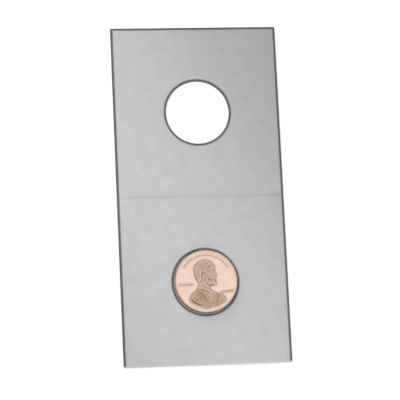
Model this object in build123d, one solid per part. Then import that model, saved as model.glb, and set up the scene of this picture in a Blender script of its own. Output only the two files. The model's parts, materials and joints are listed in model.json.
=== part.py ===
"""Open two-inch coin holder flip: a creased card with film windows, and the coin laid on one of them.

X runs along the fold, Y from the coin's panel to the cover panel, and Z up from the table.
The origin is the middle of the open card, on the face that it rests on. All sizes are in millimetres.
"""

from build123d import *
import math
import os

# Card blank: a panel each side of the fold, measured from the fold line, and a lip that lengthens the cover
panel_width = 50.8
panel_height = 50.8
cover_lip = 1.6
board_thickness = 0.5
corner_radius = 0.4

# Windows, punched to clear the coin, as far from the fold line on one panel as on the other
window_margin = 0.12
window_offset = 0.22
window_reach = 25.95

# Crease: a shallow valley on the inside of the fold and a pressed groove on the outside
crease_width = 3.2
valley_depth = 0.12
groove_width = 0.9
groove_depth = 0.15

# Clear film, laminated over the whole inside of the card
glue_thickness = 0.03
film_thickness = 0.05

# Coin, struck with a raised rim on both sides and a plain edge
coin_diameter = 19.05
coin_thickness = 1.52
rim_width = 0.65
rim_height = 0.2
rim_slope = 0.15
edge_bevel = 0.12
coin_clearance = 0.02
fold_clearance = 0.1

# Low relief on the coin, in steps above the field
bust_step = 0.08
dress_step = 0.05
leaf_step = 0.1
leaf_count = 22
leaf_length = 1.9
leaf_width = 0.75
leaf_lean = 28.0

# Places that follow from the sizes above
half_crease = crease_width / 2
fold_y = -cover_lip / 2
glue_floor = board_thickness
film_floor = glue_floor + glue_thickness
inner_face = film_floor + film_thickness
coin_radius = coin_diameter / 2
window_radius = coin_radius + window_margin
coin_floor = inner_face + coin_clearance
field_radius = coin_radius - rim_width - rim_slope
upper_field = coin_floor + coin_thickness - rim_height
lower_field = coin_floor + rim_height

# Bust in profile, in shares of the field's radius, with the coin's centre at 0, 0
BUST = [
    (0.02, 0.755), (0.20, 0.69), (0.315, 0.56), (0.345, 0.44), (0.325, 0.375), (0.385, 0.28),
    (0.435, 0.205), (0.365, 0.16), (0.385, 0.11), (0.355, 0.075), (0.378, 0.04), (0.352, 0.0),
    (0.375, -0.07), (0.31, -0.15), (0.17, -0.15), (0.155, -0.25), (0.30, -0.36), (0.56, -0.47),
    (0.69, -0.62), (0.52, -0.79), (0.05, -0.94), (-0.42, -0.83), (-0.63, -0.63), (-0.53, -0.42),
    (-0.34, -0.26), (-0.30, -0.05), (-0.38, 0.16), (-0.42, 0.36), (-0.37, 0.56), (-0.20, 0.72),
]

# Areas that stand up from the bust, each inside its outline
HAIR = [
    (0.02, 0.725), (0.175, 0.665), (0.225, 0.61), (0.165, 0.55), (0.08, 0.49), (0.05, 0.40),
    (0.05, 0.31), (0.0, 0.30), (-0.06, 0.33), (-0.13, 0.31), (-0.165, 0.21), (-0.15, 0.09),
    (-0.20, 0.01), (-0.275, -0.03), (-0.35, 0.17), (-0.39, 0.36), (-0.345, 0.545), (-0.185, 0.69),
]
EAR = [
    (-0.05, 0.295), (-0.015, 0.255), (-0.03, 0.18), (-0.065, 0.11), (-0.10, 0.14), (-0.125, 0.22),
    (-0.10, 0.28),
]
BEARD = [
    (0.035, 0.26), (0.06, 0.12), (0.13, 0.05), (0.235, 0.05), (0.325, 0.0), (0.345, -0.07),
    (0.295, -0.125), (0.17, -0.125), (0.05, -0.05), (0.0, 0.06), (0.005, 0.17),
]
COAT_BACK = [
    (-0.31, -0.24), (-0.18, -0.27), (-0.04, -0.37), (0.055, -0.52), (0.10, -0.72), (0.10, -0.905),
    (-0.15, -0.895), (-0.41, -0.80), (-0.59, -0.62), (-0.50, -0.43), (-0.39, -0.305),
]
COAT_FRONT = [
    (0.33, -0.41), (0.55, -0.495), (0.655, -0.62), (0.50, -0.765), (0.27, -0.85), (0.215, -0.76),
    (0.25, -0.58),
]


def panel_sheet(side, floor, thickness, punched):
    """One layer of one panel: side is -1 for the coin's panel and 1 for the cover panel."""
    length = panel_height - half_crease + (cover_lip if side > 0 else 0)
    outline = Rectangle(panel_width, length)
    outer_corners = outline.vertices().group_by(Axis.Y)[-1 if side > 0 else 0]
    outline = Pos(0, side * (half_crease + length / 2)) * fillet(outer_corners, corner_radius)
    if punched:
        outline -= Pos(window_offset, side * window_reach) * Circle(window_radius)
    return Pos(0, fold_y, floor) * extrude(outline, thickness)


def crease_strip(floor, thickness, grooved):
    """One layer of the crease, dipped along the fold and as long as the panels are wide."""
    roof = floor + thickness
    left, right = -half_crease, half_crease
    groove = groove_width / 2
    dipped_floor = [ThreePointArc((left, floor), (0, floor - valley_depth), (right, floor))]
    grooved_floor = [
        Line((left, floor), (-groove, floor)),
        ThreePointArc((-groove, floor), (0, floor + groove_depth), (groove, floor)),
        Line((groove, floor), (right, floor)),
    ]
    section = grooved_floor if grooved else dipped_floor
    section += [
        Line((right, floor), (right, roof)),
        ThreePointArc((right, roof), (0, roof - valley_depth), (left, roof)),
        Line((left, roof), (left, floor)),
    ]
    along_fold = Plane(origin=(-panel_width / 2, fold_y, 0), x_dir=(0, 1, 0), z_dir=(1, 0, 0))
    return extrude(along_fold * make_face(Curve() + section), panel_width)


def coin_blank():
    """The coin without its relief: a revolved section with a raised rim on both sides."""
    roof = coin_floor + coin_thickness
    rim_inside = coin_radius - rim_width
    bevel_start = coin_radius - edge_bevel
    section = Polyline(
        (0, lower_field),
        (field_radius, lower_field),
        (rim_inside, coin_floor),
        (bevel_start, coin_floor),
        (coin_radius, coin_floor + edge_bevel),
        (coin_radius, roof - edge_bevel),
        (bevel_start, roof),
        (rim_inside, roof),
        (field_radius, upper_field),
        (0, upper_field),
        close=True,
    )
    return revolve(Plane.XZ * make_face(section), Axis.Z)


def relief_step(shares, floor, height):
    """A raised step whose smooth outline is given in shares of the field's radius."""
    points = [(x * field_radius, y * field_radius) for x, y in shares]
    return Pos(0, 0, floor) * extrude(make_face(Spline(*points, periodic=True)), height)


def leaf_ring():
    """A plain ring of leaves on the coin's underside."""
    ring_radius = field_radius - leaf_length / 2 - rim_slope
    leaf = make_face(
        ThreePointArc((-leaf_length / 2, 0), (0, leaf_width / 2), (leaf_length / 2, 0))
        + ThreePointArc((leaf_length / 2, 0), (0, -leaf_width / 2), (-leaf_length / 2, 0))
    )
    leaves = [
        place * Rot(0, 0, 90 + leaf_lean) * leaf for place in PolarLocations(ring_radius, leaf_count)
    ]
    return [Pos(0, 0, lower_field) * extrude(one, -leaf_step) for one in leaves]


def coin():
    """The struck coin, standing on the film over the window of the lower panel."""
    struck = coin_blank() + relief_step(BUST, upper_field, bust_step)
    for area in (HAIR, EAR, BEARD, COAT_BACK, COAT_FRONT):
        struck += relief_step(area, upper_field + bust_step, dress_step)
    struck += leaf_ring()
    return Pos(window_offset, fold_y - window_reach, 0) * struck


def closing_angle():
    """Degrees that the cover panel turns before its film meets the coin's near edge."""
    near_edge = window_reach - coin_radius
    lift = coin_clearance + coin_thickness + fold_clearance
    return 180 - math.degrees(math.atan2(lift, near_edge))


LAYERS = {
    "board": (0, board_thickness),
    "glue": (glue_floor, glue_thickness),
    "film": (film_floor, film_thickness),
}

nodes = {"coin": coin()}
for layer, (layer_floor, layer_thickness) in LAYERS.items():
    is_punched = layer != "film"
    nodes["lower_" + layer] = panel_sheet(-1, layer_floor, layer_thickness, is_punched)
    nodes["upper_" + layer] = panel_sheet(1, layer_floor, layer_thickness, is_punched)
    nodes["crease_" + layer] = crease_strip(layer_floor, layer_thickness, layer == "board")

os.makedirs("parts", exist_ok=True)
for name, shape in nodes.items():
    export_step(shape, f"parts/{name}.step")
print("nodes", len(nodes), "fold axis at", fold_y, inner_face, "closes at", round(closing_angle(), 2))
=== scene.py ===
"""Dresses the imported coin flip: a creased card with film over its windows, and a struck coin laid on one.

Lengths are in metres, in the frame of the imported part: X runs along the fold, Y from the coin's panel
to the cover panel, and Z up from the table.
"""

import json
import math
from functools import partial

import bpy
import numpy as np
from bpy.props import FloatProperty, FloatVectorProperty, IntProperty, PointerProperty
from mathutils import Euler, Matrix, Vector


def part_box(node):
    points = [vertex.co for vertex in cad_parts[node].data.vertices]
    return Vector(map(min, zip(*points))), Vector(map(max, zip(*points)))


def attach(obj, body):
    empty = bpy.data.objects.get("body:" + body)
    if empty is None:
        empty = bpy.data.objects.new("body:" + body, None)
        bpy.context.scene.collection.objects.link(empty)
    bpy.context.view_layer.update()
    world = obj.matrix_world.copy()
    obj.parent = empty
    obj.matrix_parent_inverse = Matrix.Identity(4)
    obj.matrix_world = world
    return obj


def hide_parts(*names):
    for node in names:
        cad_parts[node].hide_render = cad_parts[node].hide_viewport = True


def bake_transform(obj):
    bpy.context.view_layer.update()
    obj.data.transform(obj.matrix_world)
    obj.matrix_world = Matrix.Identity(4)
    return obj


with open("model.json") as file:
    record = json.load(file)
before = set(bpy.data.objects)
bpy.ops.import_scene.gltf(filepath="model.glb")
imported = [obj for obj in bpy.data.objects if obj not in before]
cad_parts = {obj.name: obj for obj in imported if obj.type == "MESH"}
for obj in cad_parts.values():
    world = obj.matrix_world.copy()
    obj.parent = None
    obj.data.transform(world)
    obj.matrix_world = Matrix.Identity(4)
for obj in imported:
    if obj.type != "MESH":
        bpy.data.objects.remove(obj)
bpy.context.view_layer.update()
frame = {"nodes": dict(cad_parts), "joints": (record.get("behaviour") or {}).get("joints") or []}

bl_info = {
    "name": "Coin Holder Flip",
    "version": (1, 0, 0),
    "blender": (4, 5, 0),
    "location": "View3D > Sidebar > Coin Flip",
    "description": "Dresses an open card coin flip with film windows and a struck copper coin",
    "category": "Add Mesh",
}

MM = 0.001

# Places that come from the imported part
COIN_LOW, COIN_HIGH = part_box("coin")
COIN_CENTRE = (COIN_LOW + COIN_HIGH) / 2
COIN_RADIUS = (COIN_HIGH.x - COIN_LOW.x) / 2
CREASE_LOW, CREASE_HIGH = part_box("crease_board")
VALLEY_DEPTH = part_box("lower_film")[0].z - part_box("crease_film")[0].z
FOLD_AXIS = Vector(next(joint["pos_m"] for joint in frame["joints"] if joint["name"] == "fold"))

# How finely the meshes are drawn
SIDE_POINTS = 36
CORNER_POINTS = 10
FLAT_RINGS = 5
SHOULDER_SHARES = (0.0, 0.08, 0.2, 0.35, 0.49, 0.65, 0.82, 1.0)
CREASE_POINTS = 41
CREASE_LENGTHS = 30
COIN_SEGMENTS = 480
UPPER_RINGS = 108
LOWER_RINGS = 60
RIM_STEPS = 6
CURVE_STEPS = 8
CREASE_GATHER = 1.5
SHARP_ANGLE = math.radians(40)

# Shares of toning, of patina with painted shade on the edge, and of rubbing, kept on the coin's points, and
# the dips where patina gathers
COIN_TONES = "toned", "patina_and_shade", "rubbed"
DIP_REACHES = 0.25 * MM, 0.6 * MM
DIP_DEPTH = 0.085 * MM
RUBBED_MOST = 0.35

# Tone of the rim, and the brown of the coin's edge: the least share of its patina, all round, and the side
# where painted shade makes it thickest
RIM_TONE = 0.15, 0.0, 0.0
PATINA_LEAST, SHADE_SIDE = 0.4, (0.34, -0.94)

# Refraction of the clay on the board and of polyester, and how many clear faces a ray may cross
BOARD_IOR, POLYESTER_IOR = 1.5, 1.64
CLEAR_FACES = 24

# Widths and lengths of the two softboxes, and where the raking one stands
STRIP_SIZE, RAKE_SIZE = (0.06, 0.36), (0.15, 0.15)
RAKE_PLACE = Vector((-0.2, 0.45, 0.2))

# Colours of the dome at the horizon and overhead, and how closely its light gathers overhead
DOME_LOW, DOME_HIGH, DOME_GATHER = "6C6C6C", "FFFFFF", 7.0

# Floor: half its width, its gap below the card, and the lift that whitens it. The lift is least along
# the even part of the strip light, measured from its middle, and most at the reach from there
FLOOR_HALF, FLOOR_GAP = 2.0, 0.02 * MM
LIFT_LEAST, LIFT_EVEN, LIFT_REACH = 0.2, 90 * MM, 123 * MM

# Camera: width of its sensor in millimetres, and the nearest and farthest place that it sees
SENSOR_WIDTH, SIGHT = 36.0, (0.01, 10.0)


def from_hex(code):
    """Linear red, green, blue and alpha of an sRGB colour written as six hex digits."""
    shares = [int(code[k:k + 2], 16) / 255 for k in (0, 2, 4)]
    linear = [part / 12.92 if part <= 0.04045 else ((part + 0.055) / 1.055) ** 2.4 for part in shares]
    return (*linear, 1.0)


def millimetres(name, description, default):
    """A length setting, whose default is given in millimetres."""
    return FloatProperty(
        name=name, description=description, default=default * MM, precision=6, unit="LENGTH")


def hex_colour(name, description, default):
    """A colour setting, whose default is given as six hex digits."""
    return FloatVectorProperty(
        name=name, description=description, default=from_hex(default), size=4, subtype="COLOR")


def factor(name, description, default):
    """A setting between 0 and 1."""
    return FloatProperty(
        name=name, description=description, default=default, min=0, max=1, subtype="FACTOR")


class FlipCardSettings(bpy.types.PropertyGroup):
    """Sizes and colours of the card blank."""

    window_margin: millimetres(
        "Window margin", "How far the window's rim lies outside the coin's edge", 0.12)
    corner_radius: millimetres("Corner radius", "Rounding of the four outer corners", 0.4)
    shoulder_width: millimetres(
        "Shoulder width", "Width that the cutting rule rolls down beside a die-cut edge", 0.95)
    shoulder_drop: millimetres("Shoulder drop", "Depth of the rolled shoulder at the edge itself", 0.16)
    # Painted shade: the face darkens in a band beside each die-cut edge and window
    painted_edge_shade_width: millimetres(
        "Crushed width", "Width of the dark line that the cutting rule leaves beside an edge", 0.72)
    # The face is made paler in a band along the mouth
    pale_mouth_width: millimetres(
        "Bared width", "Width along the mouth where the knife bares the core of the board", 0.3)
    groove_width: millimetres(
        "Groove width", "Width of the groove pressed into the outside of the fold", 0.9)
    groove_depth: millimetres(
        "Groove depth", "Depth of the groove pressed into the outside of the fold", 0.15)
    bend_width: millimetres("Bend width", "Width across the fold over which the crease turns", 0.8)
    # Painted shade: the face darkens in a line along the middle of the fold
    crease_shade_share: factor(
        "Scored share", "How far the creasing rule crushes the board along the fold", 0.14)
    face_colour: hex_colour("Face", "Coated inner face", "CDCDCF")
    # Dark colour of the painted shade beside die-cut edges, also given to their walls
    edge_shade_colour: hex_colour("Die-cut edge", "Board crushed by the cutting rule", "47474A")
    # Pale colour of the band along the mouth and of the cut walls at the mouth and the fold
    pale_cut_colour: hex_colour("Core", "Bare board where a knife cut it", "D8D5CA")
    back_colour: hex_colour("Back", "Uncoated outer face", "C9C7C0")


class FlipFilmSettings(bpy.types.PropertyGroup):
    """Finish of the film and of the glue under it."""

    film_tint: hex_colour("Film", "Colour of light that has passed the film", "FEFEFF")
    film_gloss: factor("Film roughness", "Roughness of the film's surface", 0.12)
    glue_tint: hex_colour("Glue", "Colour of light that has passed the glue", "FEFEFD")
    glue_slack: millimetres(
        "Glue slack", "Gap that keeps the glue's faces off the board and the film", 0.003)


class FlipCoinSettings(bpy.types.PropertyGroup):
    """Sizes and colours of the coin."""

    rim_width: millimetres("Rim width", "Width of the flat rim", 0.72)
    rim_slope: millimetres("Rim slope", "Width of the slope from the rim to the field", 0.08)
    rim_height: millimetres("Rim height", "Height of the rim over the field", 0.2)
    edge_round: millimetres("Edge rounding", "Rounding between the rim and the coin's edge", 0.16)
    relief_height: millimetres("Relief height", "Height of a full step of the bust over the field", 0.145)
    leaf_count: IntProperty(
        name="Leaves", description="Leaves in the ring on the underside", default=22, min=0)
    leaf_length: millimetres("Leaf length", "Length of a leaf", 1.9)
    leaf_width: millimetres("Leaf width", "Width of a leaf", 0.75)
    leaf_height: millimetres("Leaf height", "Height of a leaf over the field", 0.1)
    leaf_lean: FloatProperty(
        name="Leaf lean", description="Turn of a leaf from the ring's direction",
        default=math.radians(28), unit="ROTATION")
    field_colour: hex_colour("Field", "Bright struck copper", "F1D3C4")
    bloom_colour: hex_colour("Bloom", "Struck copper where its first mint bloom is left", "F5DFCA")
    relief_colour: hex_colour("Relief", "Copper toned by handling", "AD9079")
    # The recess colour is also laid on the coin's edge, as patina all round and as painted shade on its
    # lower side
    recess_colour: hex_colour("Recess", "Tarnish in the hollows of the relief and on the edge", "4A342B")


class FlipStageSettings(bpy.types.PropertyGroup):
    """Camera, lamps and floor."""

    lens: FloatProperty(
        name="Lens", description="Focal length on a 36 mm wide sensor", default=180.0, unit="CAMERA")
    camera_turn: FloatVectorProperty(
        name="Camera turn", description="Turn of the flip as the camera sees it", subtype="EULER",
        unit="ROTATION", default=[math.radians(angle) for angle in (-9.262, 8.445, 1.359)])
    camera_place: FloatVectorProperty(
        name="Camera place", description="Place of the open card's middle as the camera sees it",
        subtype="TRANSLATION", unit="LENGTH", precision=5, default=(0.113 * MM, 1.728 * MM, -603.961 * MM))
    strip_power: FloatProperty(
        name="Strip light", description="Power of the strip softbox hung low over the card's left half",
        default=0.096, unit="POWER")
    strip_place: FloatVectorProperty(
        name="Strip place", description="Middle of the strip softbox", subtype="TRANSLATION", unit="LENGTH",
        default=(-0.0178, -0.005, 0.06))
    strip_turn: FloatProperty(
        name="Strip turn", description="Turn of the strip softbox from the card's length",
        default=math.radians(28.4), unit="ROTATION")
    rake_power: FloatProperty(
        name="Raking light", description="Power of the low lamp beyond the cover",
        default=0.74, unit="POWER")
    dome_strength: FloatProperty(
        name="Dome", description="Brightness of the soft light overhead", default=0.86, min=0)
    floor_colour: hex_colour("Floor", "Matt white table top", "EEEEEE")
    floor_lift: factor(
        "Floor lift", "Light added to the seen floor beyond the reach of the strip light", 0.95)


def made_material(name, surface, *details):
    """The node material of that name, made when it is first asked for.

    surface gets the function that adds a node and the place on the object, and returns its last node.
    """
    material = bpy.data.materials.get(name)
    if material is None:
        material = bpy.data.materials.new(name)
        material.use_nodes = True
        material.node_tree.nodes.clear()
        add = partial(add_node, material.node_tree)
        place = add("TexCoord").outputs["Object"]
        add("OutputMaterial", {"Surface": surface(add, place, *details)})
    return material


def add_node(tree, kind, inputs=(), **settings):
    """Adds a node with its settings. An input takes a value, a socket, or a node for its first output."""
    node = tree.nodes.new("ShaderNode" + kind)
    for name, value in settings.items():
        setattr(node, name, value)
    for name, value in dict(inputs).items():
        source = value.outputs[0] if isinstance(value, bpy.types.Node) else value
        if isinstance(source, bpy.types.NodeSocket):
            tree.links.new(source, node.inputs[name])
        else:
            node.inputs[name].default_value = source
    return node


def shaded(colour, light):
    """A colour made lighter or darker by a factor, with its alpha kept."""
    return (*[min(1.0, part * light) for part in colour[:3]], 1.0)


def coated_board(add, place, card):
    """Clay-coated greyboard, calendered: a smooth satin face, with painted shade that darkens it beside a
    die-cut edge.

    The clay is thin, so a faint cloud of the pulp below shows through it, and along the mouth
    the face is made paler.
    """
    cloud_size, fibre_size = 11.0 * MM, 0.45 * MM
    cloud = add("TexNoise", {"Vector": place, "Scale": 1 / cloud_size, "Detail": 3.0})
    # Pulp fibres are about 0.03 mm wide, and are drawn 0.45 mm wide so that they show
    fibre = add("TexNoise", {"Vector": place, "Scale": 1 / fibre_size, "Detail": 2.0})
    face = add("MixRGB", {
        "Fac": cloud, "Color1": shaded(card.face_colour, 0.993), "Color2": shaded(card.face_colour, 1.007)})
    uneven = add("MapRange", {"Value": fibre, "To Min": -0.25, "To Max": 0.25})
    # Painted shade darkens the face beside die-cut edges, windows and the fold's middle; the second share
    # makes it paler along the mouth
    for name, colour in (("painted_edge_shade", card.edge_shade_colour), ("pale_mouth", card.pale_cut_colour)):
        share = add("Attribute", attribute_name=name).outputs["Fac"]
        frayed = add("Math", {0: share, 1: uneven, 2: share}, operation="MULTIPLY_ADD", use_clamp=True)
        face = add("MixRGB", {"Fac": frayed, "Color1": face, "Color2": colour})
    bump = add("Bump", {"Height": fibre, "Strength": 0.3, "Distance": 0.01 * MM})
    return add("BsdfPrincipled", {"Base Color": face, "Roughness": 0.5, "IOR": BOARD_IOR, "Normal": bump})


def shaded_cut_wall(add, place, colour):
    """Painted shade on the walls of die-cut edges and windows: dark greyboard, slightly uneven along the
    cut.
    """
    drag_size = 1.3 * MM
    drag = add("TexNoise", {"Vector": place, "Scale": 1 / drag_size, "Detail": 4.0})
    tone = add("MixRGB", {"Fac": drag, "Color1": shaded(colour, 0.75), "Color2": shaded(colour, 1.3)})
    bump = add("Bump", {"Height": drag, "Strength": 0.4, "Distance": 0.02 * MM})
    return add("BsdfPrincipled", {"Base Color": tone, "Roughness": 0.6, "IOR": BOARD_IOR, "Normal": bump})


def bare_board(add, place, colour, fleck_size):
    """Uncoated pulp board: matt and fibrous, with pale and dark flecks from its recycled stock."""
    fleck = add("TexNoise", {"Vector": place, "Scale": 1 / fleck_size, "Detail": 5.0})
    spread = add("MapRange", {"Value": fleck, "From Min": 0.35, "From Max": 0.65})
    tone = add("MixRGB", {"Fac": spread, "Color1": shaded(colour, 0.92), "Color2": shaded(colour, 1.05)})
    bump = add("Bump", {"Height": fleck, "Strength": 0.5, "Distance": 0.02 * MM})
    return add("BsdfPrincipled", {"Base Color": tone, "Roughness": 0.85, "IOR": BOARD_IOR, "Normal": bump})


def clear_film(add, place, tint, roughness):
    """Clear polyester film, cast and stretched: seen only by its gloss, which is not quite flat."""
    ripple_size = 9.0 * MM
    ripple = add("TexNoise", {"Vector": place, "Scale": 1 / ripple_size, "Detail": 1.0})
    bump = add("Bump", {"Height": ripple, "Strength": 0.5, "Distance": 0.03 * MM})
    # Only the outer side of the sheet shines, because light isn't bent on its way through
    inner_side = add("NewGeometry").outputs["Backfacing"]
    outer_side = add("Math", {0: 1.0, 1: inner_side}, operation="SUBTRACT")
    fresnel = add("Fresnel", {"IOR": POLYESTER_IOR})
    share = add("Math", {0: fresnel, 1: outer_side}, operation="MULTIPLY")
    clear = add("BsdfTransparent", {"Color": tint})
    gloss = add("BsdfGlossy", {"Roughness": roughness, "Normal": bump})
    return add("MixShader", {0: share, 1: clear, 2: gloss})


def laminating_glue(add, place, tint, milk_colour):
    """Thin dried laminating glue: clear, with a slightly milky cloud where the coat is thicker."""
    smear_size = 4.0 * MM
    smear = add("TexNoise", {"Vector": place, "Scale": 1 / smear_size, "Detail": 4.0})
    milk = add("MapRange", {"Value": smear, "From Min": 0.4, "From Max": 0.8, "To Max": 0.03})
    clear = add("BsdfTransparent", {"Color": tint})
    cloud = add("BsdfDiffuse", {"Color": milk_colour})
    return add("MixShader", {0: milk, 1: clear, 2: cloud})


def struck_copper(add, place, settings):
    """Struck copper: a bright flowing field, a duller toned relief, and patina in every hollow.

    The high points are rubbed bright again, and the plain edge is patinated brown, with painted shade that
    darkens it most on its lower side.
    """
    toning_size, scratch_size = 2.2 * MM, 0.2 * MM
    patch = add("TexNoise", {"Vector": place, "Scale": 1 / toning_size, "Detail": 4.0})
    bloom = add("MapRange", {"Value": patch, "From Min": 0.35, "From Max": 0.65})
    # Hairlines are about 0.02 mm wide, and are drawn 0.2 mm wide so that they show
    scratch = add("TexNoise", {"Vector": place, "Scale": 1 / scratch_size, "Detail": 2.0})
    toned, patina_and_shade, rubbed = [add("Attribute", attribute_name=name).outputs["Fac"] for name in COIN_TONES]
    uneven = add("MapRange", {
        "Value": patch, "From Min": 0.3, "From Max": 0.7, "To Min": 0.65, "To Max": 1.0})
    worn = add("Math", {0: toned, 1: uneven}, operation="MULTIPLY")
    colour = settings.field_colour
    for share, layer in ((bloom, settings.bloom_colour), (worn, settings.relief_colour),
                         (patina_and_shade, settings.recess_colour), (rubbed, settings.field_colour)):
        colour = add("MixRGB", {"Fac": share, "Color1": colour, "Color2": layer})
    dull = add("Math", {0: worn, 1: patina_and_shade}, operation="MAXIMUM")
    rough = add("MapRange", {"Value": dull, "To Min": 0.3, "To Max": 0.5})
    bump = add("Bump", {"Height": scratch, "Strength": 0.25, "Distance": 0.01 * MM})
    return add("BsdfPrincipled", {
        "Base Color": colour, "Metallic": 1.0, "Roughness": rough, "Normal": bump})


def seen_share(add):
    """1 for rays that show a backdrop, straight, in a gloss or through glass, and 0 for other rays."""
    path = add("LightPath")
    straight, glossy, through = [
        path.outputs[name] for name in ("Is Camera Ray", "Is Glossy Ray", "Is Transmission Ray")]
    seen = add("Math", {0: straight, 1: glossy}, operation="MAXIMUM")
    return add("Math", {0: seen, 1: through}, operation="MAXIMUM")


def table_top(add, place, stage):
    """Matt white laminate: it takes the flip's shadow, and is white from above and clear from below.

    The lift that whitens it grows with the distance from the strip light, to make up for its falloff.
    """
    grain_size = 30 * MM
    grain = add("TexNoise", {"Vector": place, "Scale": 1 / grain_size, "Detail": 2.0})
    darker, lighter = [shaded(stage.floor_colour, light) for light in (0.995, 1.005)]
    tone = add("MixRGB", {"Fac": grain, "Color1": darker, "Color2": lighter})
    from_strip = add("Mapping", {
        "Vector": place, "Location": stage.strip_place, "Rotation": (0, 0, stage.strip_turn)},
        vector_type="TEXTURE")
    either_side = add("VectorMath", {0: from_strip}, operation="ABSOLUTE")
    # A metre taken off the height leaves it out of the distance
    past = add("VectorMath", {0: either_side, 1: (0, LIFT_EVEN, 1)}, operation="SUBTRACT")
    outside = add("VectorMath", {0: past, 1: (0, 0, 0)}, operation="MAXIMUM")
    distance = add("VectorMath", {0: outside}, operation="LENGTH").outputs["Value"]
    lift = add("MapRange", {
        "Value": distance, "From Max": LIFT_REACH, "To Min": LIFT_LEAST, "To Max": stage.floor_lift})
    strength = add("Math", {0: seen_share(add), 1: lift}, operation="MULTIPLY")
    matt = add("BsdfDiffuse", {"Color": tone})
    glow = add("Emission", {"Strength": strength})
    above = add("AddShader", {0: matt, 1: glow})
    below = add("NewGeometry").outputs["Backfacing"]
    return add("MixShader", {0: below, 1: above, 2: add("BsdfTransparent")})


def card_finishes(card):
    """The four finishes of the card: face, dark die-cut walls painted in shade, pale cut walls, and back."""
    core_fleck, back_fleck = 0.5 * MM, 1.2 * MM
    return [
        made_material("coated_greyboard", coated_board, card),
        made_material("die_cut_wall_painted_shade", shaded_cut_wall, card.edge_shade_colour),
        made_material("pale_cut_greyboard_wall", bare_board, card.pale_cut_colour, core_fleck),
        made_material("uncoated_greyboard_back", bare_board, card.back_colour, back_fleck),
    ]


def film_finish(settings):
    """The film's one material."""
    return made_material("clear_polyester_film", clear_film, settings.film_tint, settings.film_gloss)


def glue_finish(settings, card):
    """The glue's one material."""
    milk_colour = shaded(card.face_colour, 1.2)
    return made_material("laminating_glue", laminating_glue, settings.glue_tint, milk_colour)


# Finishes by number. The dark walls at die-cut edges and windows are painted shade
FACE, SHADED_WALL, PALE_WALL, BACK = range(4)


def placed(name, data):
    """A new object in the scene, which shows the mesh, lamp or camera that it is given."""
    holder = bpy.data.objects.new(name, data)
    bpy.context.scene.collection.objects.link(holder)
    return holder


def add_piece(name, points, faces, finishes, finish_of_face=None, shares=None):
    """Adds a mesh to the scene. Each face takes a finish by its number, and points may keep named shares."""
    mesh = bpy.data.meshes.new(name)
    mesh.from_pydata([tuple(point) for point in points], [], faces)
    for finish in finishes:
        mesh.materials.append(finish)
    if finish_of_face is not None:
        mesh.polygons.foreach_set("material_index", finish_of_face)
    for share, values in (shares or {}).items():
        mesh.attributes.new(share, "FLOAT", "POINT").data.foreach_set("value", np.float32(values))
    mesh.shade_smooth()
    mesh.set_sharp_from_angle(angle=SHARP_ANGLE)
    mesh.update()
    piece = placed(name, mesh)
    return piece


def ring_faces(rings, size, closed=False):
    """Quads from each ring of points to the next, and back to the first ring if it is closed."""
    faces = []
    for ring in range(rings if closed else rings - 1):
        here, there = ring * size, (ring + 1) % rings * size
        for k in range(size):
            after = (k + 1) % size
            faces.append((here + k, there + k, there + after, here + after))
    return faces


def window_centre(side):
    """Middle of a panel's window: both lie as far from the fold as the coin does."""
    return np.array((COIN_CENTRE.x, COIN_CENTRE.y if side == "lower" else 2 * FOLD_AXIS.y - COIN_CENTRE.y))


def square_loop(low, high, corner_radius=0.0, outer_y=None):
    """Points round a rectangle, close together at its corners. The corners at outer_y are rounded."""
    corners = np.array([(low[0], low[1]), (high[0], low[1]), (high[0], high[1]), (low[0], high[1])])
    reach = bpy.context.scene.flip_card.shoulder_width
    near = np.linspace(0, reach, CORNER_POINTS, endpoint=False)
    loop = []
    for start, end in zip(corners, np.roll(corners, -1, axis=0)):
        length = np.linalg.norm(end - start)
        places = [*near, *np.linspace(reach, length - reach, SIDE_POINTS), *(length - near[:0:-1])]
        loop += [start + (end - start) * place / length for place in places]
    loop = np.array(loop)
    if corner_radius > 0:
        for corner in corners[np.isclose(corners[:, 1], outer_y)]:
            inward = np.sign(corners.mean(axis=0) - corner)
            pivot = corner + corner_radius * inward
            offset = loop - pivot
            beyond = (offset * inward < 0).all(axis=1)
            loop[beyond] = pivot + corner_radius * offset[beyond] / np.linalg.norm(
                offset[beyond], axis=1, keepdims=True)
    return loop


def round_loop(centre, radius, outline):
    """Points round a window, each in the direction of one point of the outline."""
    offset = outline - centre
    return centre + radius * offset / np.linalg.norm(offset, axis=1, keepdims=True)


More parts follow.
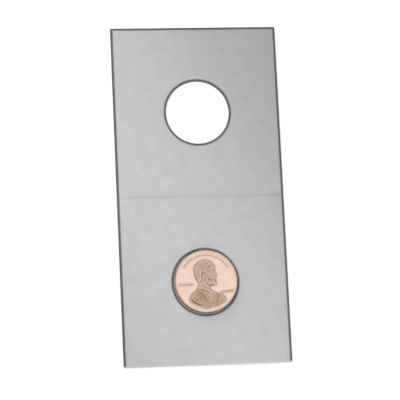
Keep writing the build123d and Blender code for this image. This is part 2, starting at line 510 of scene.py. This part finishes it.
class BoardPanel:
    """Plan and heights of one panel of the card."""

    def __init__(self, side, card):
        low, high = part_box(side + "_board")
        self.side, self.card = side, card
        self.low, self.high = np.array(low), np.array(high)
        self.outer_y = low.y if side == "lower" else high.y
        self.window = window_centre(side)
        self.window_radius = COIN_RADIUS + card.window_margin
        self.outline = square_loop(self.low, self.high)
        if self.window_radius + card.shoulder_width > (high.y - low.y) / 2:
            raise ValueError(f"the window of the {side} panel is wider than the panel")

    def edge_gap(self, places):
        """Distance of each place from the nearest die-cut edge. The mouth and the fold aren't die-cut."""
        x, y = places[:, 0], places[:, 1]
        gaps = [x - self.low[0], self.high[0] - x]
        gaps.append(np.hypot(x - self.window[0], y - self.window[1]) - self.window_radius)
        if self.side == "upper":
            gaps.append(self.high[1] - y)
        return np.min(gaps, axis=0)

    def inset_loop(self, inset):
        """The panel's outline, moved inwards."""
        radius = max(self.card.corner_radius - inset, 0.0)
        shrink = np.array((inset, inset, 0))
        outer_y = self.outer_y + (inset if self.side == "lower" else -inset)
        return square_loop(self.low + shrink, self.high - shrink, radius, outer_y)

    def top_loops(self):
        """Loops across the inner face, from the window's rim out to the panel's edge."""
        steps = [share * self.card.shoulder_width for share in SHOULDER_SHARES]
        loops = [round_loop(self.window, self.window_radius + step, self.outline) for step in steps]
        inner, outer = loops[-1], self.inset_loop(steps[-1])
        shares = np.linspace(0, 1, FLAT_RINGS + 2)[1:-1]
        loops += [inner + (outer - inner) * share for share in shares]
        return loops + [self.inset_loop(step) for step in reversed(steps)]

    def mesh(self):
        """Points, faces and the finish of each face."""
        top = self.top_loops()
        heights = [self.high[2] - shoulder_drop(self.edge_gap(loop), self.card) for loop in top]
        floor = np.full(len(self.outline), self.low[2])
        rings = [np.column_stack(pair) for pair in zip(top, heights)]
        rings += [np.column_stack((top[-1], floor)), np.column_stack((top[0], floor))]
        points = np.vstack(rings)
        faces = ring_faces(len(rings), len(self.outline), closed=True)
        return points, faces, self.finishes(points, np.array(faces), len(top)), self.shares(points)

    def finishes(self, points, faces, top_count):
        """The coated face on top, the back below, walls painted dark with shade at die-cut edges and
        windows, and pale walls at the mouth and the fold.
        """
        ring = np.arange(len(faces)) // len(self.outline)
        gap = self.edge_gap(points[faces].mean(axis=1))
        finish = np.where(gap < self.card.painted_edge_shade_width, SHADED_WALL, PALE_WALL)
        finish[ring < top_count - 1] = FACE
        finish[ring == top_count] = BACK
        return finish

    def shares(self, points):
        """How far each point takes the painted shade beside a die-cut edge, and how far it is made paler
        along the mouth.
        """
        from_mouth = points[:, 1] - self.low[1] if self.side == "lower" else np.full(len(points), np.inf)
        return {"painted_edge_shade": near_edge(self.edge_gap(points), self.card.painted_edge_shade_width),
                "pale_mouth": near_edge(from_mouth, self.card.pale_mouth_width)}


def near_edge(gap, width):
    """A share that is 1 up to three quarters of a width from an edge, and 0 from five quarters on."""
    return np.clip(2.5 - 2 * gap / width, 0, 1)


def shoulder_drop(gap, card):
    """How far the face has rolled down at a distance from a die-cut edge."""
    share = np.clip(gap / card.shoulder_width, 0, 1)
    return card.shoulder_drop * (1 - np.sqrt(1 - (1 - share) ** 2))


def valley(y):
    """Depth of the valley along the fold, smooth where it meets the panels."""
    return VALLEY_DEPTH * np.cos(math.pi * (y - FOLD_AXIS.y) / (CREASE_HIGH.y - CREASE_LOW.y)) ** 2


def crease_places():
    """Places across the crease, closest together in the middle, where it bends most."""
    share = np.linspace(-1, 1, CREASE_POINTS)
    return FOLD_AXIS.y + (CREASE_HIGH.y - FOLD_AXIS.y) * np.sign(share) * np.abs(share) ** CREASE_GATHER


def crease_mesh(lengths, roof, floor):
    """A strip along the fold. roof and floor give the heights across it for each place along it."""
    across = crease_places()
    sections = []
    for x in lengths:
        top = np.column_stack((np.full(CREASE_POINTS, x), across, roof(x, across)))
        bottom = np.column_stack((np.full(CREASE_POINTS, x), across, floor(x, across)))
        sections.append(np.vstack((top, bottom[::-1])))
    size = 2 * CREASE_POINTS
    faces = ring_faces(len(sections), size)
    last = (len(sections) - 1) * size
    for k in range(CREASE_POINTS - 1):
        start_cap = (k, k + 1, size - 2 - k, size - 1 - k)
        faces += [start_cap, tuple(last + corner for corner in reversed(start_cap))]
    return np.vstack(sections), faces


def bend_with_fold(piece):
    """Bakes a crease piece's placement into its mesh."""
    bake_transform(piece)


class COINFLIP_OT_panels(bpy.types.Operator):
    """Build the two card panels, with rolled shoulders along their die-cut edges and windows"""

    bl_idname = "coin_flip.panels"
    bl_label = "Card Panels"

    def execute(self, context):
        card = context.scene.flip_card
        for side in ("lower", "upper"):
            points, faces, finish, shares = BoardPanel(side, card).mesh()
            piece = add_piece(side + "_card", points, faces, card_finishes(card), finish, shares)
            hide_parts(side + "_board")
            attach(piece, side + "_panel")
        return {"FINISHED"}


class COINFLIP_OT_crease(bpy.types.Operator):
    """Build the board, glue and film of the crease"""

    bl_idname = "coin_flip.crease"
    bl_label = "Crease"

    def execute(self, context):
        card, settings = context.scene.flip_card, context.scene.flip_film
        self.add_board(card)
        self.add_layer("glue", glue_finish(settings, card), settings.glue_slack, card.shoulder_width, card)
        self.add_layer("film", film_finish(settings), 0.0, 0.0, card)
        return {"FINISHED"}

    def add_board(self, card):
        """The board: a valley on the inside of the fold, a groove on the outside, and rolled ends."""
        ends = np.array(SHOULDER_SHARES) * card.shoulder_width
        middle = np.linspace(CREASE_LOW.x + ends[-1], CREASE_HIGH.x - ends[-1], CREASE_LENGTHS)
        lengths = [*(CREASE_LOW.x + ends[:-1]), *middle, *(CREASE_HIGH.x - ends[-2::-1])]

        def end_gap(x):
            return np.minimum(x - CREASE_LOW.x, CREASE_HIGH.x - x)

        def roof(x, across):
            return CREASE_HIGH.z - valley(across) - shoulder_drop(end_gap(x), card)

        def floor(x, across):
            inside = np.clip(1 - ((across - FOLD_AXIS.y) / (card.groove_width / 2)) ** 2, 0, 1)
            return CREASE_LOW.z + card.groove_depth * inside

        points, faces = crease_mesh(lengths, roof, floor)
        middles = np.array([points[list(face)].mean(axis=0) for face in faces])
        under = middles[:, 2] < (CREASE_LOW.z + CREASE_HIGH.z - VALLEY_DEPTH) / 2
        finish = np.where(under, BACK, FACE)
        # Painted shade: the die-cut end walls take the dark finish, and the face darkens along the middle of
        # the fold and beside its two ends
        finish[np.isclose(end_gap(middles[:, 0]), 0)] = SHADED_WALL
        crease_shade = card.crease_shade_share * np.exp(-((points[:, 1] - FOLD_AXIS.y) / (card.groove_width / 2)) ** 2)
        shares = {"painted_edge_shade": np.maximum(near_edge(end_gap(points[:, 0]), card.painted_edge_shade_width), crease_shade)}
        piece = add_piece("crease_card", points, faces, card_finishes(card), finish, shares)
        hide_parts("crease_board")
        bend_with_fold(piece)

    def add_layer(self, layer, finish, slack, inset, card):
        """A thin layer that follows the valley."""
        low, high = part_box("lower_" + layer)
        lengths = np.linspace(CREASE_LOW.x + inset, CREASE_HIGH.x - inset, CREASE_LENGTHS)
        points, faces = crease_mesh(
            lengths,
            lambda x, across: high.z - slack - valley(across),
            lambda x, across: low.z + slack - valley(across))
        piece = add_piece("crease_" + layer + "_strip", points, faces, [finish])
        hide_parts("crease_" + layer)
        bend_with_fold(piece)


class COINFLIP_OT_glue(bpy.types.Operator):
    """Build the glue coats of the two panels, which stop short of the die-cut edges"""

    bl_idname = "coin_flip.glue"
    bl_label = "Glue Coats"

    def execute(self, context):
        card, settings = context.scene.flip_card, context.scene.flip_film
        for side in ("lower", "upper"):
            low, high = (np.array(corner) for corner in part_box(side + "_glue"))
            margin = card.shoulder_width
            outer = square_loop(
                low + (margin, 0, 0), high - (margin, margin if side == "upper" else 0, 0))
            window = window_centre(side)
            inner = round_loop(window, COIN_RADIUS + card.window_margin + margin, outer)
            shares = np.linspace(0, 1, FLAT_RINGS + 2)
            across = [inner + (outer - inner) * share for share in shares]
            roof = np.full(len(outer), high[2] - settings.glue_slack)
            floor = np.full(len(outer), low[2] + settings.glue_slack)
            rings = [np.column_stack((loop, roof)) for loop in across]
            rings += [np.column_stack((loop, floor)) for loop in reversed(across)]
            faces = ring_faces(len(rings), len(outer), closed=True)
            piece = add_piece(
                side + "_glue_coat", np.vstack(rings), faces, [glue_finish(settings, card)])
            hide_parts(side + "_glue")
            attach(piece, side + "_panel")
        return {"FINISHED"}


class COINFLIP_OT_film(bpy.types.Operator):
    """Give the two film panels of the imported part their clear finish"""

    bl_idname = "coin_flip.film"
    bl_label = "Film"

    def execute(self, context):
        for node in ("lower_film", "upper_film"):
            sheet = frame["nodes"][node]
            sheet.data.materials.clear()
            sheet.data.materials.append(film_finish(context.scene.flip_film))
        return {"FINISHED"}


# Outlines of the bust, in shares of the field's radius, with the coin's centre at 0, 0
BUST = [
    (0.02, 0.755), (0.20, 0.69), (0.315, 0.56), (0.345, 0.44), (0.325, 0.375), (0.385, 0.28),
    (0.435, 0.205), (0.365, 0.16), (0.385, 0.11), (0.355, 0.075), (0.378, 0.04), (0.352, 0.0),
    (0.375, -0.07), (0.31, -0.15), (0.17, -0.15), (0.155, -0.25), (0.30, -0.36), (0.56, -0.47),
    (0.69, -0.62), (0.52, -0.79), (0.05, -0.94), (-0.42, -0.83), (-0.63, -0.63), (-0.53, -0.42),
    (-0.34, -0.26), (-0.30, -0.05), (-0.38, 0.16), (-0.42, 0.36), (-0.37, 0.56), (-0.20, 0.72),
]
HEAD = [
    (0.02, 0.755), (0.20, 0.69), (0.315, 0.56), (0.345, 0.44), (0.34, 0.30), (0.36, 0.15),
    (0.36, 0.0), (0.375, -0.07), (0.31, -0.15), (0.15, -0.13), (-0.05, -0.06), (-0.30, -0.02),
    (-0.38, 0.16), (-0.42, 0.36), (-0.37, 0.56), (-0.20, 0.72),
]
HAIR = [
    (0.03, 0.77), (0.20, 0.71), (0.25, 0.625), (0.175, 0.555), (0.09, 0.50), (0.06, 0.40),
    (0.07, 0.30), (0.02, 0.25), (-0.04, 0.31), (-0.12, 0.30), (-0.15, 0.20), (-0.14, 0.08),
    (-0.20, 0.0), (-0.30, -0.06), (-0.40, 0.16), (-0.44, 0.36), (-0.39, 0.56), (-0.21, 0.735),
]
BEARD = [
    (0.03, 0.25), (0.055, 0.12), (0.13, 0.045), (0.235, 0.055), (0.33, 0.01), (0.38, -0.07),
    (0.31, -0.16), (0.17, -0.15), (0.03, -0.06), (-0.03, 0.06), (-0.015, 0.17),
]
EAR = [
    (-0.045, 0.295), (-0.005, 0.255), (-0.02, 0.18), (-0.06, 0.10), (-0.10, 0.125), (-0.125, 0.22),
    (-0.10, 0.285),
]
COAT_BACK = [
    (-0.34, -0.22), (-0.18, -0.26), (-0.03, -0.37), (0.065, -0.52), (0.11, -0.72), (0.13, -0.96),
    (-0.15, -0.95), (-0.44, -0.86), (-0.66, -0.63), (-0.56, -0.41), (-0.41, -0.29),
]
COAT_FRONT = [
    (0.32, -0.37), (0.57, -0.45), (0.72, -0.62), (0.54, -0.81), (0.28, -0.91), (0.21, -0.78),
    (0.24, -0.58),
]
TIE_WINGS = [
    [(0.19, -0.385), (0.27, -0.30), (0.335, -0.335), (0.325, -0.43), (0.215, -0.425)],
    [(0.18, -0.385), (0.155, -0.425), (0.085, -0.53), (0.055, -0.475), (0.085, -0.39)],
]

# Widths of the shoulders round those areas, and how high each area stands, in shares of the relief height
BUST_SHOULDER, HEAD_SHOULDER, DRESS_SHOULDER, TIE_SHOULDER = 0.08, 0.30, 0.035, 0.03
BUST_RISE, HEAD_RISE, HAIR_RISE, LOCK_RISE = 0.42, 0.30, 0.14, 0.45
EAR_RISE, COAT_RISE, TIE_RISE = 0.22, 0.26, 0.28

# How far the bust is toned and how much more its coat is, and how soon the tone is full as a form rises
BUST_TONE, COAT_TONE = 0.73, 0.27
BUST_TONING, BEAD_TONING = 3, 6

# Lines of the face, ear and dress: points, half width, and height, which is below 0 for a groove
LINES = [
    ([(0.32, 0.40), (0.36, 0.29), (0.405, 0.21)], 0.060, 0.20),
    ([(0.305, 0.215), (0.30, 0.17), (0.275, 0.115)], 0.026, -0.10),
    ([(0.335, 0.425), (0.275, 0.437), (0.19, 0.405)], 0.038, 0.17),
    ([(0.325, 0.375), (0.26, 0.378), (0.20, 0.350)], 0.028, -0.17),
    ([(0.322, 0.345), (0.27, 0.362), (0.205, 0.325)], 0.013, 0.14),
    ([(0.31, 0.322), (0.265, 0.308), (0.21, 0.320)], 0.011, 0.09),
    ([(0.31, 0.295), (0.26, 0.278), (0.20, 0.285)], 0.026, -0.07),
    ([(0.37, 0.112), (0.325, 0.105), (0.285, 0.085)], 0.028, 0.14),
    ([(0.365, 0.042), (0.325, 0.045), (0.288, 0.065)], 0.028, 0.14),
    ([(0.375, 0.076), (0.32, 0.074), (0.27, 0.070)], 0.013, -0.22),
    ([(-0.02, 0.255), (-0.065, 0.285), (-0.105, 0.24), (-0.10, 0.17), (-0.075, 0.12)], 0.020, 0.18),
    ([(-0.04, 0.235), (-0.07, 0.22), (-0.065, 0.165)], 0.020, -0.30),
    ([(-0.06, 0.02), (0.02, -0.14), (0.11, -0.27)], 0.090, 0.12),
    ([(-0.31, -0.20), (-0.12, -0.225), (0.04, -0.29), (0.16, -0.37)], 0.042, 0.30),
    ([(-0.31, -0.255), (-0.13, -0.285), (0.02, -0.35), (0.13, -0.43)], 0.014, -0.22),
    ([(-0.36, -0.31), (-0.20, -0.40), (-0.06, -0.52), (-0.09, -0.57), (0.0, -0.66), (0.09, -0.84)],
     0.018, -0.24),
    ([(0.36, -0.43), (0.40, -0.54), (0.36, -0.60), (0.33, -0.78)], 0.018, -0.24),
    ([(-0.50, -0.50), (-0.40, -0.62), (-0.34, -0.80)], 0.036, -0.18),
    ([(-0.44, -0.44), (-0.30, -0.58), (-0.22, -0.84)], 0.040, 0.12),
    ([(0.58, -0.54), (0.55, -0.64), (0.47, -0.76)], 0.032, -0.16),
    ([(-0.56, -0.56), (-0.48, -0.68), (-0.34, -0.77), (-0.12, -0.84)], 0.044, -0.80),
    ([(-0.56, -0.70), (-0.40, -0.82), (-0.12, -0.90), (0.10, -0.90)], 0.030, 0.35),
]

# Round forms of the face, tie and shirt: centre, half width and height
SWELLS = [
    ((0.20, 0.19), 0.17, 0.12),
    ((0.24, 0.50), 0.15, 0.07),
    ((0.335, 0.187), 0.040, 0.17),
    ((0.368, 0.170), 0.018, -0.18),
    ((0.268, 0.335), 0.048, 0.18),
    ((0.187, -0.402), 0.036, 0.34),
    ((0.165, -0.60), 0.022, 0.22),
    ((0.180, -0.74), 0.022, 0.22),
]

# Locks of hair and beard: the first lock, the last one, and how many lie side by side. Then their half
# width in shares of their spacing, and how they and other lines taper
LOCKS = [
    ([(0.24, 0.645), (0.13, 0.715), (-0.02, 0.725), (-0.14, 0.68)],
     [(0.065, 0.33), (0.0, 0.36), (-0.07, 0.345), (-0.13, 0.30)], 9),
    ([(-0.14, 0.69), (-0.27, 0.62), (-0.36, 0.50), (-0.40, 0.33)],
     [(-0.13, 0.31), (-0.155, 0.24), (-0.15, 0.14), (-0.17, 0.04)], 9),
    ([(-0.40, 0.33), (-0.38, 0.18), (-0.34, 0.06), (-0.30, -0.04)],
     [(-0.20, 0.22), (-0.185, 0.13), (-0.19, 0.05), (-0.22, 0.0)], 6),
    ([(0.035, 0.24), (0.0, 0.10), (0.04, -0.02), (0.12, -0.11)],
     [(0.33, 0.005), (0.365, -0.04), (0.36, -0.09), (0.32, -0.135)], 9),
]
LOCK_WIDTH, LOCK_TAPER, LINE_TAPER = 0.62, 0.35, 0.5

# Rows of beads that border the field: how many, and the first and the last centre of each straight row
ARC_BEADS, ARC_START, ARC_END, ARC_RADIUS = 19, 146, 34, 0.905
BEAD_ROWS = [(8, (-0.93, -0.10), (-0.47, -0.10)), (7, (0.52, -0.385), (0.90, -0.335))]
BEAD_SIZE, BEAD_HEIGHT = 0.046, 0.34

# The sunk vein of a leaf, in shares of the leaf's width and height
VEIN_WIDTH, VEIN_DEPTH = 0.25, 0.35


def smooth_line(points, closed=False):
    """Points along a smooth curve through the given ones, a Catmull-Rom spline."""
    knots = np.array(points, float)
    if closed:
        knots = np.vstack([knots[-1:], knots, knots[:2]])
    else:
        knots = np.vstack([2 * knots[0] - knots[1], knots, 2 * knots[-1] - knots[-2]])
    share = np.linspace(0, 1, CURVE_STEPS, endpoint=False)[:, None]
    runs = []
    for before, start, end, after in zip(knots, knots[1:], knots[2:], knots[3:]):
        bend = 2 * before - 5 * start + 4 * end - after
        twist = 3 * start - before - 3 * end + after
        runs.append(start + ((end - before) * share + bend * share**2 + twist * share**3) / 2)
    return np.vstack([*runs, knots[-2]])


def beside(places, line, reach):
    """How far each place is from the line, up to the reach, and the share of the line passed there."""
    gap, passed = np.full(len(places), reach), np.zeros(len(places))
    in_reach = (places > line.min(0) - reach) & (places < line.max(0) + reach)
    close = np.flatnonzero(in_reach.all(axis=1))
    here, best, share = places[close], gap[close], passed[close]
    for k, (start, run) in enumerate(zip(line, np.diff(line, axis=0))):
        step = np.clip((here - start) @ run / (run @ run), 0, 1)
        distance = np.linalg.norm(here - start - step[:, None] * run, axis=1)
        nearer = distance < best
        best[nearer] = distance[nearer]
        share[nearer] = (k + step[nearer]) / (len(line) - 1)
    gap[close], passed[close] = best, share
    return gap, passed


def within(places, line):
    """True for each place inside the closed line."""
    x, y = places.T
    odd = np.zeros(len(places), bool)
    for (ax, ay), (bx, by) in zip(line, line[1:]):
        if ay != by:
            odd ^= ((ay > y) != (by > y)) & (x < ax + (bx - ax) * (y - ay) / (by - ay))
    return odd


def raised(places, outline, shoulder):
    """A raised area, 1 high, whose edge rises smoothly over the shoulder's width."""
    line = smooth_line(outline, closed=True)
    gap, _ = beside(places, line, shoulder)
    share = gap / shoulder
    return np.where(within(places, line), share * share * (3 - 2 * share), 0.0)


def ridge(places, points, half_width, taper):
    """A rounded ridge, 1 high, along a smooth line. The taper lowers it towards both ends."""
    gap, passed = beside(places, smooth_line(points), half_width)
    return (1 - (gap / half_width) ** 2) ** 2 * (4 * passed * (1 - passed)) ** taper


def swell(places, centre, half_width):
    """A round swelling, 1 high."""
    gap = np.linalg.norm(places - np.array(centre), axis=1)
    return np.clip(1 - (gap / half_width) ** 2, 0, 1) ** 2


def locks(places):
    """Locks of hair and beard, 1 high, each group fanned from its first lock to its last."""
    height = np.zeros(len(places))
    for first, last, count in LOCKS:
        first, last = np.array(first), np.array(last)
        spacing = np.linalg.norm(last[1:3] - first[1:3], axis=1).mean() / (count - 1)
        for share in np.linspace(0, 1, count):
            lock = ridge(places, first + (last - first) * share, LOCK_WIDTH * spacing, LOCK_TAPER)
            height = np.maximum(height, lock)
    return height


def bust_relief(places):
    """Height of the bust over the field, in shares of the relief height, and how far it is toned."""
    bust = raised(places, BUST, BUST_SHOULDER)
    head = raised(places, HEAD, HEAD_SHOULDER)
    ear = raised(places, EAR, DRESS_SHOULDER)
    hair = np.maximum(*[raised(places, part, DRESS_SHOULDER) for part in (HAIR, BEARD)])
    coat = np.maximum(*[raised(places, part, DRESS_SHOULDER) for part in (COAT_BACK, COAT_FRONT)])
    tie = np.maximum(*[raised(places, wing, TIE_SHOULDER) for wing in TIE_WINGS])
    detail = HEAD_RISE * head + HAIR_RISE * hair + EAR_RISE * ear + COAT_RISE * coat + TIE_RISE * tie
    detail += LOCK_RISE * locks(places) * hair * (1 - ear)
    for points, half_width, rise in LINES:
        detail += rise * ridge(places, points, half_width, LINE_TAPER)
    for centre, half_width, rise in SWELLS:
        detail += rise * swell(places, centre, half_width)
    toned = np.clip(BUST_TONING * bust, 0, 1) * (BUST_TONE + COAT_TONE * coat)
    return bust * (BUST_RISE + detail), toned


def bead_relief(places):
    """Height of the rows of beads on the field."""
    arc = np.radians(np.linspace(ARC_START, ARC_END, ARC_BEADS))
    centres = [ARC_RADIUS * np.array((math.cos(angle), math.sin(angle))) for angle in arc]
    for count, first, last in BEAD_ROWS:
        centres += list(np.linspace(first, last, count))
    return BEAD_HEIGHT * np.max([swell(places, centre, BEAD_SIZE) for centre in centres], axis=0)


def leaf_relief(places, coin, field_radius):
    """Height of the leaves on the underside, in shares of a leaf's height, each with a sunk vein."""
    ring_radius = field_radius - coin.leaf_length / 2 - coin.rim_slope
    height = np.zeros(len(places))
    for k in range(coin.leaf_count):
        turn = 2 * math.pi * k / coin.leaf_count
        middle = ring_radius * np.array((math.cos(turn), math.sin(turn)))
        heading = turn + math.pi / 2 + coin.leaf_lean
        half = coin.leaf_length / 2 * np.array((math.cos(heading), math.sin(heading)))
        line = [(middle + half * share) / field_radius for share in (-1, 0, 1)]
        half_width = coin.leaf_width / 2 / field_radius
        blade = ridge(places, line, half_width, LINE_TAPER)
        vein = ridge(places, line, VEIN_WIDTH * half_width, LINE_TAPER)
        height = np.maximum(height, blade - VEIN_DEPTH * vein)
    return height


class CoinForm:
    """Rings, heights and tones of the struck coin."""

    def __init__(self, coin):
        self.coin = coin
        self.field_radius = COIN_RADIUS - coin.rim_width - coin.rim_slope
        turns = np.linspace(0, 2 * math.pi, COIN_SEGMENTS, endpoint=False)
        self.directions = np.column_stack((np.cos(turns), np.sin(turns)))

    def upper_relief(self, places):
        """Height over the upper field, and how far each place is toned: the bust and the beads."""
        height, toned = bust_relief(places)
        beads = bead_relief(places)
        toned = np.maximum(toned, np.clip(BEAD_TONING * beads, 0, 1))
        return np.maximum(height, beads) * self.coin.relief_height, toned

    def lower_relief(self, places):
        """Height over the lower field, and how far each place is toned: the ring of leaves."""
        leaves = leaf_relief(places, self.coin, self.field_radius)
        return leaves * self.coin.leaf_height, leaves

    def dips(self, height, radii, reach):
        """How far each place lies below the mean of four others at the given distance from it."""
        rings = max(1, round(reach * len(radii) / self.field_radius))
        padded = np.pad(height, ((rings, rings), (0, 0)), mode="edge")
        around = padded[:-2 * rings] + padded[2 * rings:]
        for k, radius in enumerate(radii):
            turn = min(reach / radius, math.pi / 2) * COIN_SEGMENTS / (2 * math.pi)
            around[k] += np.roll(height[k], round(turn)) + np.roll(height[k], -round(turn))
        return around / 4 - height

    def field_rings(self, count, relief):
        """Radius of each ring on one field, with its heights and tones."""
        radii = self.field_radius * np.arange(1, count + 1) / count
        places = (radii[:, None, None] / self.field_radius * self.directions).reshape(-1, 2)
        height, toned = [part.reshape(count, COIN_SEGMENTS) for part in relief(places)]
        if height.max() > self.coin.rim_height:
            raise ValueError("the relief stands above the coin's rim")
        dip = sum(self.dips(height, radii, reach) for reach in DIP_REACHES) / DIP_DEPTH
        tones = np.stack((toned, np.clip(dip, 0, 1), np.clip(-dip, 0, 1) * RUBBED_MOST))
        return [(radius, height[k], tones[:, k]) for k, radius in enumerate(radii)]

    def rim_rings(self):
        """Radius, depth below the top, and tones, from the field's edge over the rim to the coin's edge."""
        coin = self.coin
        rings = []
        for share in np.linspace(0, 1, RIM_STEPS)[1:]:
            depth = coin.rim_height * (1 - share * share * (3 - 2 * share))
            rings.append((self.field_radius + coin.rim_slope * share, depth, RIM_TONE))
        flat_end = COIN_RADIUS - coin.edge_round
        rings.append(((rings[-1][0] + flat_end) / 2, 0.0, RIM_TONE))
        # Painted shade: the edge's brown grows from its least share to full on the side given, its lower
        # side, away from the light
        outer_patina_and_shade = PATINA_LEAST + (1 - PATINA_LEAST) * np.clip(self.directions @ SHADE_SIDE, 0, 1)
        plain = np.ones(COIN_SEGMENTS)
        for angle in np.radians(np.linspace(0, 90, RIM_STEPS)):
            tones = plain, outer_patina_and_shade * (1 + math.sin(angle)) / 2, 0 * plain
            depth = coin.edge_round * (1 - math.cos(angle))
            rings.append((flat_end + coin.edge_round * math.sin(angle), depth, tones))
        return rings

    def mesh(self):
        """Points, faces, and the tones of each point."""
        upper = self.field_rings(UPPER_RINGS, self.upper_relief)
        lower = self.field_rings(LOWER_RINGS, self.lower_relief)
        rim, rise = self.rim_rings(), self.coin.rim_height
        rings = [(radius, COIN_HIGH.z - rise + height, tones) for radius, height, tones in upper]
        rings += [(radius, COIN_HIGH.z - depth, tones) for radius, depth, tones in rim]
        rings += [(radius, COIN_LOW.z + depth, tones) for radius, depth, tones in reversed(rim)]
        rings += [(radius, COIN_LOW.z + rise - height, tones) for radius, height, tones in reversed(lower)]
        middle, points, shares = np.array(COIN_CENTRE)[:2], [], []
        for radius, height, tones in rings:
            heights = np.broadcast_to(height, COIN_SEGMENTS)
            points.append(np.column_stack((middle + radius * self.directions, heights)))
            tones = np.array(tones).reshape(len(COIN_TONES), -1)
            shares.append(np.broadcast_to(tones, (len(COIN_TONES), COIN_SEGMENTS)))
        for innermost in (0, len(rings) - 1):
            points.append(points[innermost].mean(axis=0, keepdims=True))
            shares.append(shares[innermost].mean(axis=1, keepdims=True))
        return np.vstack(points), self.faces(len(rings)), dict(zip(COIN_TONES, np.hstack(shares)))

    def faces(self, rings):
        """Quads between the rings, and a fan of triangles round each centre."""
        faces = ring_faces(rings, COIN_SEGMENTS)
        last, top, bottom = (rings - 1) * COIN_SEGMENTS, rings * COIN_SEGMENTS, rings * COIN_SEGMENTS + 1
        for k in range(COIN_SEGMENTS):
            after = (k + 1) % COIN_SEGMENTS
            faces += [(top, k, after), (bottom, last + after, last + k)]
        return faces


class COINFLIP_OT_coin(bpy.types.Operator):
    """Build the struck coin, with a bust on its face and a ring of leaves on its underside"""

    bl_idname = "coin_flip.coin"
    bl_label = "Coin"

    def execute(self, context):
        coin = context.scene.flip_coin
        points, faces, tones = CoinForm(coin).mesh()
        copper = made_material("struck_copper", struck_copper, coin)
        piece = add_piece("struck_coin", points, faces, [copper], shares=tones)
        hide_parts("coin")
        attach(piece, "coin")
        return {"FINISHED"}


class COINFLIP_OT_stage(bpy.types.Operator):
    """Set up the table, the soft studio light and the camera"""

    bl_idname = "coin_flip.stage"
    bl_label = "Stage"

    def execute(self, context):
        stage = context.scene.flip_stage
        self.add_floor(stage)
        self.add_dome(context.scene, stage.dome_strength)
        straight_down = 0, 0, stage.strip_turn
        self.add_lamp("strip_softbox", stage.strip_power, stage.strip_place, straight_down, STRIP_SIZE)
        at_the_card = RAKE_PLACE.to_track_quat("Z", "Y").to_euler()
        self.add_lamp("raking_softbox", stage.rake_power, RAKE_PLACE, at_the_card, RAKE_SIZE)
        self.add_camera(context.scene, stage)
        context.scene.view_settings.view_transform = "Standard"
        # Light crosses four faces of film and glue on its way in, four on its way out, and more at the fold
        context.scene.cycles.transparent_max_bounces = CLEAR_FACES
        return {"FINISHED"}

    def add_floor(self, stage):
        """A wide flat table top, a hair below the card. Light from below passes it and reaches the card."""
        signs = (-1, -1), (1, -1), (1, 1), (-1, 1)
        corners = [(x * FLOOR_HALF, y * FLOOR_HALF, -FLOOR_GAP) for x, y in signs]
        mesh = bpy.data.meshes.new("table")
        mesh.from_pydata(corners, [], [(0, 1, 2, 3)])
        mesh.materials.append(made_material("matt_white_table", table_top, stage))
        table = placed("table", mesh)
        table.visible_diffuse = table.visible_shadow = False

    def add_dome(self, scene, strength):
        """A soft dome behind a white backdrop, brightest overhead and below, and dim at the horizon."""
        world = bpy.data.worlds.new("studio_dome")
        world.use_nodes = True
        world.node_tree.nodes.clear()
        add = partial(add_node, world.node_tree)
        direction = add("TexCoord").outputs["Generated"]
        height = add("SeparateXYZ", {"Vector": direction}).outputs["Z"]
        upward = add("Math", {0: height}, operation="ABSOLUTE")
        share = add("Math", {0: upward, 1: DOME_GATHER}, operation="POWER")
        tone = add("MixRGB", {"Fac": share, "Color1": from_hex(DOME_LOW), "Color2": from_hex(DOME_HIGH)})
        light = add("Background", {"Color": tone, "Strength": strength})
        white = add("Background", {"Color": from_hex("FFFFFF"), "Strength": 1.0})
        dome = add("MixShader", {0: seen_share(add), 1: light, 2: white})
        add("OutputWorld", {"Surface": dome})
        scene.world = world

    def add_lamp(self, name, power, place, turn, size):
        """A softbox that shines along its own -Z. It shows neither in the picture nor as a reflection."""
        lamp = bpy.data.lights.new(name, "AREA")
        lamp.shape, lamp.energy = "RECTANGLE", power
        lamp.size, lamp.size_y = size
        holder = placed(name, lamp)
        holder.location, holder.rotation_euler = place, turn
        holder.visible_camera = holder.visible_glossy = False

    def add_camera(self, scene, stage):
        """A long lens above the flip, a little to its left and in front of it."""
        camera = bpy.data.cameras.new("camera")
        camera.lens, camera.sensor_width = stage.lens, SENSOR_WIDTH
        camera.clip_start, camera.clip_end = SIGHT
        scene.camera = placed("camera", camera)
        turn = Euler(stage.camera_turn, "XYZ").to_matrix().to_4x4()
        scene.camera.matrix_world = (Matrix.Translation(stage.camera_place) @ turn).inverted()


STEPS = (
    COINFLIP_OT_stage, COINFLIP_OT_panels, COINFLIP_OT_crease, COINFLIP_OT_glue, COINFLIP_OT_film,
    COINFLIP_OT_coin,
)
SETTINGS = {
    "flip_card": FlipCardSettings,
    "flip_film": FlipFilmSettings,
    "flip_coin": FlipCoinSettings,
    "flip_stage": FlipStageSettings,
}


class COINFLIP_PT_sidebar(bpy.types.Panel):
    """Lists the flip's pieces and their settings"""

    bl_idname = "COINFLIP_PT_sidebar"
    bl_label = "Coin Flip"
    bl_space_type = "VIEW_3D"
    bl_region_type = "UI"
    bl_category = "Coin Flip"

    def draw(self, context):
        for step in STEPS:
            self.layout.operator(step.bl_idname)
        for group, kind in SETTINGS.items():
            box = self.layout.box()
            for name in kind.__annotations__:
                box.prop(getattr(context.scene, group), name)


CLASSES = (*SETTINGS.values(), *STEPS, COINFLIP_PT_sidebar)


def register():
    for kind in CLASSES:
        bpy.utils.register_class(kind)
    for group, kind in SETTINGS.items():
        setattr(bpy.types.Scene, group, PointerProperty(type=kind))


def unregister():
    for group in SETTINGS:
        delattr(bpy.types.Scene, group)
    for kind in reversed(CLASSES):
        bpy.utils.unregister_class(kind)


def main():
    register()
    bpy.ops.coin_flip.stage()
    bpy.ops.coin_flip.panels()
    bpy.ops.coin_flip.crease()
    bpy.ops.coin_flip.glue()
    bpy.ops.coin_flip.film()
    bpy.ops.coin_flip.coin()


if __name__ == "__main__":
    main()
